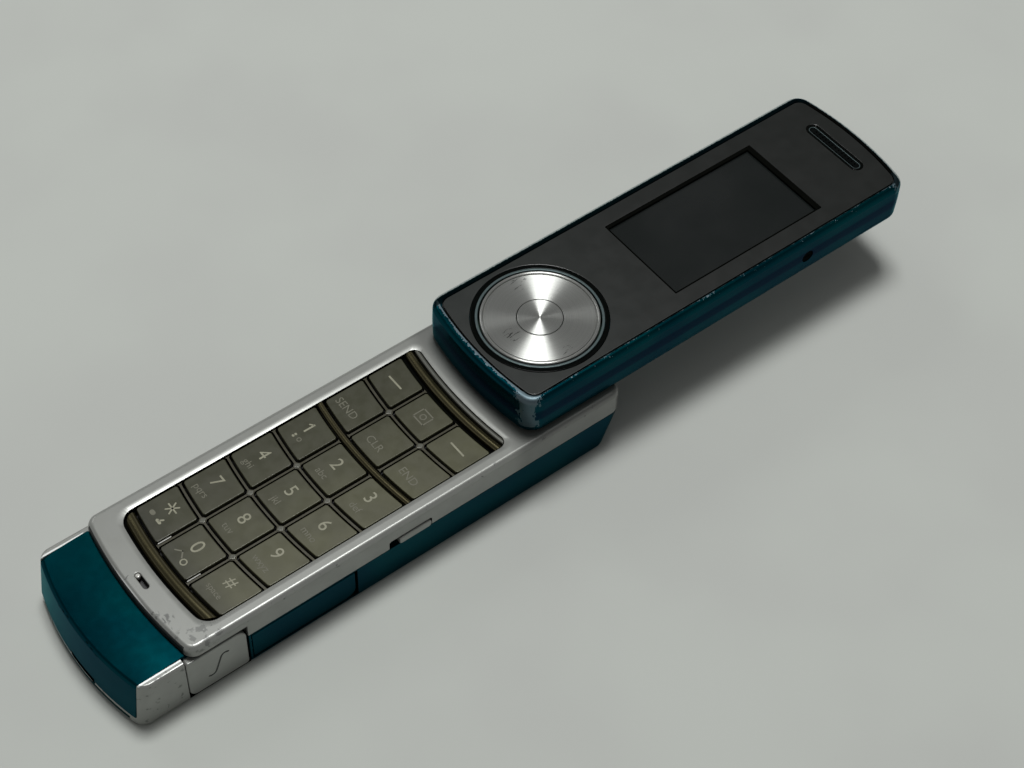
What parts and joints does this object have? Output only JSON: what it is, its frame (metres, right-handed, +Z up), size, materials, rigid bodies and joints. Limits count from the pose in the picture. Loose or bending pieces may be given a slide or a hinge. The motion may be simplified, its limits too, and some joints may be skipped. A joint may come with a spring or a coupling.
{
  "type": "swivel mobile phone",
  "caption": "Pocket phone whose screen half swivels flat over a keypad base, drawn open with lattice keypad, scroll wheel, side doors and swivel bearing.",
  "frame": {"origin": "on the axis that the lid swivels about, at the plane the base rests on", "axes": "+X towards the ear end of the open lid, +Y to the left of the keypad, +Z up out of the keypad"},
  "size_m": [0.1582, 0.0304, 0.0203],
  "materials": {
    "teal_metal": "gloss metallic teal lacquer, worn light at the edges",
    "silver_paint": "satin silver paint",
    "bronze_lattice": "satin bronze paint",
    "key_olive": "satin olive grey with pale legends",
    "dark_rubber": "matte silicone",
    "board_green": "solder resist",
    "bright_steel": "plain stamped steel",
    "black_plastic": "matte black",
    "pale_plastic": "natural plastic carrier",
    "panel_gloss": "gloss warm dark grey",
    "display_glass": "dark clear window",
    "ring_chrome": "polished and dark bands",
    "spun_metal": "circular spun finish",
    "ribbon_amber": "polyimide ribbon"
  },
  "bodies": {
    "base": {"rear_case": "teal_metal", "front_frame": "silver_paint", "chin_cap": "teal_metal", "end_bracket": "silver_paint", "keypad_frame": "bronze_lattice", "keypad_mat": "dark_rubber", "key_board": "board_green", "main_board": "board_green", "shield_cans": "bright_steel", "battery": "black_plastic", "headset_jack": "black_plastic", "charge_connector": "bright_steel", "microphone": "black_plastic", "loudspeaker": "black_plastic", "vibration_motor": "bright_steel", "antenna": "pale_plastic", "swivel_base_plate": "bright_steel", "case_screws": "bright_steel", "side_switches": "bright_steel"},
    "battery_cover": {"battery_cover": "teal_metal"},
    "headset_door": {"headset_door": "silver_paint"},
    "port_door": {"port_door": "teal_metal"},
    "hold_slider": {"hold_slider": "silver_paint"},
    "volume_rocker": {"volume_rocker": "silver_paint"},
    "key_star": {"key_star": "key_olive"},
    "key_0": {"key_0": "key_olive"},
    "key_hash": {"key_hash": "key_olive"},
    "key_7": {"key_7": "key_olive"},
    "key_8": {"key_8": "key_olive"},
    "key_9": {"key_9": "key_olive"},
    "key_4": {"key_4": "key_olive"},
    "key_5": {"key_5": "key_olive"},
    "key_6": {"key_6": "key_olive"},
    "key_1": {"key_1": "key_olive"},
    "key_2": {"key_2": "key_olive"},
    "key_3": {"key_3": "key_olive"},
    "key_send": {"key_send": "key_olive"},
    "key_clear": {"key_clear": "key_olive"},
    "key_end": {"key_end": "key_olive"},
    "key_left_soft": {"key_left_soft": "key_olive"},
    "key_camera": {"key_camera": "key_olive"},
    "key_right_soft": {"key_right_soft": "key_olive"},
    "lid": {"lid_frame": "teal_metal", "lid_rear_cover": "teal_metal", "face_panel": "panel_gloss", "display_window": "display_glass", "display_module": "black_plastic", "lid_board": "board_green", "earpiece_grille": "ring_chrome", "earpiece_speaker": "black_plastic", "wheel_trim_ring": "ring_chrome", "swivel_rotor": "bright_steel", "swivel_clip": "bright_steel", "camera_module": "black_plastic", "camera_window": "display_glass", "side_plug": "black_plastic", "flex_cable": "ribbon_amber", "lid_screws": "bright_steel"},
    "scroll_wheel": {"scroll_wheel": "spun_metal"},
    "centre_button": {"centre_button": "spun_metal"}
  },
  "joints": [
    {"name": "lid_swivel", "type": "hinge", "parent": "base", "child": "lid", "pos_m": [0, 0, 0], "axis": [0, 0, 1], "range_deg": [0, 180]},
    {"name": "wheel_spin", "type": "hinge", "parent": "lid", "child": "scroll_wheel", "pos_m": [0.0042, 0, 0], "axis": [0, 0, 1], "continuous": true},
    {"name": "button_press", "type": "slide", "parent": "lid", "child": "centre_button", "axis": [0, 0, -1], "range_m": [0, 0.0003], "stiffness_N_per_m": 800},
    {"name": "key_star_press", "type": "slide", "parent": "base", "child": "key_star", "axis": [0, 0, -1], "range_m": [0, 0.0003], "stiffness_N_per_m": 800},
    {"name": "key_0_press", "type": "slide", "parent": "base", "child": "key_0", "axis": [0, 0, -1], "range_m": [0, 0.0003], "stiffness_N_per_m": 800},
    {"name": "key_hash_press", "type": "slide", "parent": "base", "child": "key_hash", "axis": [0, 0, -1], "range_m": [0, 0.0003], "stiffness_N_per_m": 800},
    {"name": "key_7_press", "type": "slide", "parent": "base", "child": "key_7", "axis": [0, 0, -1], "range_m": [0, 0.0003], "stiffness_N_per_m": 800},
    {"name": "key_8_press", "type": "slide", "parent": "base", "child": "key_8", "axis": [0, 0, -1], "range_m": [0, 0.0003], "stiffness_N_per_m": 800},
    {"name": "key_9_press", "type": "slide", "parent": "base", "child": "key_9", "axis": [0, 0, -1], "range_m": [0, 0.0003], "stiffness_N_per_m": 800},
    {"name": "key_4_press", "type": "slide", "parent": "base", "child": "key_4", "axis": [0, 0, -1], "range_m": [0, 0.0003], "stiffness_N_per_m": 800},
    {"name": "key_5_press", "type": "slide", "parent": "base", "child": "key_5", "axis": [0, 0, -1], "range_m": [0, 0.0003], "stiffness_N_per_m": 800},
    {"name": "key_6_press", "type": "slide", "parent": "base", "child": "key_6", "axis": [0, 0, -1], "range_m": [0, 0.0003], "stiffness_N_per_m": 800},
    {"name": "key_1_press", "type": "slide", "parent": "base", "child": "key_1", "axis": [0, 0, -1], "range_m": [0, 0.0003], "stiffness_N_per_m": 800},
    {"name": "key_2_press", "type": "slide", "parent": "base", "child": "key_2", "axis": [0, 0, -1], "range_m": [0, 0.0003], "stiffness_N_per_m": 800},
    {"name": "key_3_press", "type": "slide", "parent": "base", "child": "key_3", "axis": [0, 0, -1], "range_m": [0, 0.0003], "stiffness_N_per_m": 800},
    {"name": "key_send_press", "type": "slide", "parent": "base", "child": "key_send", "axis": [0, 0, -1], "range_m": [0, 0.0003], "stiffness_N_per_m": 800},
    {"name": "key_clear_press", "type": "slide", "parent": "base", "child": "key_clear", "axis": [0, 0, -1], "range_m": [0, 0.0003], "stiffness_N_per_m": 800},
    {"name": "key_end_press", "type": "slide", "parent": "base", "child": "key_end", "axis": [0, 0, -1], "range_m": [0, 0.0003], "stiffness_N_per_m": 800},
    {"name": "key_left_soft_press", "type": "slide", "parent": "base", "child": "key_left_soft", "axis": [0, 0, -1], "range_m": [0, 0.0003], "stiffness_N_per_m": 800},
    {"name": "key_camera_press", "type": "slide", "parent": "base", "child": "key_camera", "axis": [0, 0, -1], "range_m": [0, 0.0003], "stiffness_N_per_m": 800},
    {"name": "key_right_soft_press", "type": "slide", "parent": "base", "child": "key_right_soft", "axis": [0, 0, -1], "range_m": [0, 0.0003], "stiffness_N_per_m": 800},
    {"name": "headset_door_hinge", "type": "hinge", "parent": "base", "child": "headset_door", "pos_m": [-0.0723, -0.0143, 0.005], "axis": [0, 0, -1], "range_deg": [0, 95]},
    {"name": "port_door_hinge", "type": "hinge", "parent": "base", "child": "port_door", "pos_m": [-0.06105, -0.0143, 0.0042], "axis": [0, 0, -1], "range_deg": [0, 95]},
    {"name": "hold_slide", "type": "slide", "parent": "base", "child": "hold_slider", "axis": [-1, 0, 0], "range_m": [0, 0.0016]},
    {"name": "volume_rock", "type": "hinge", "parent": "base", "child": "volume_rocker", "pos_m": [-0.052, 0.01337, 0.0054], "axis": [0, 0, 1], "range_deg": [-2, 2], "stiffness_Nm_per_rad": 0.05},
    {"name": "cover_slide", "type": "slide", "parent": "base", "child": "battery_cover", "axis": [-1, 0, 0], "range_m": [0, 0.003]}
  ]
}
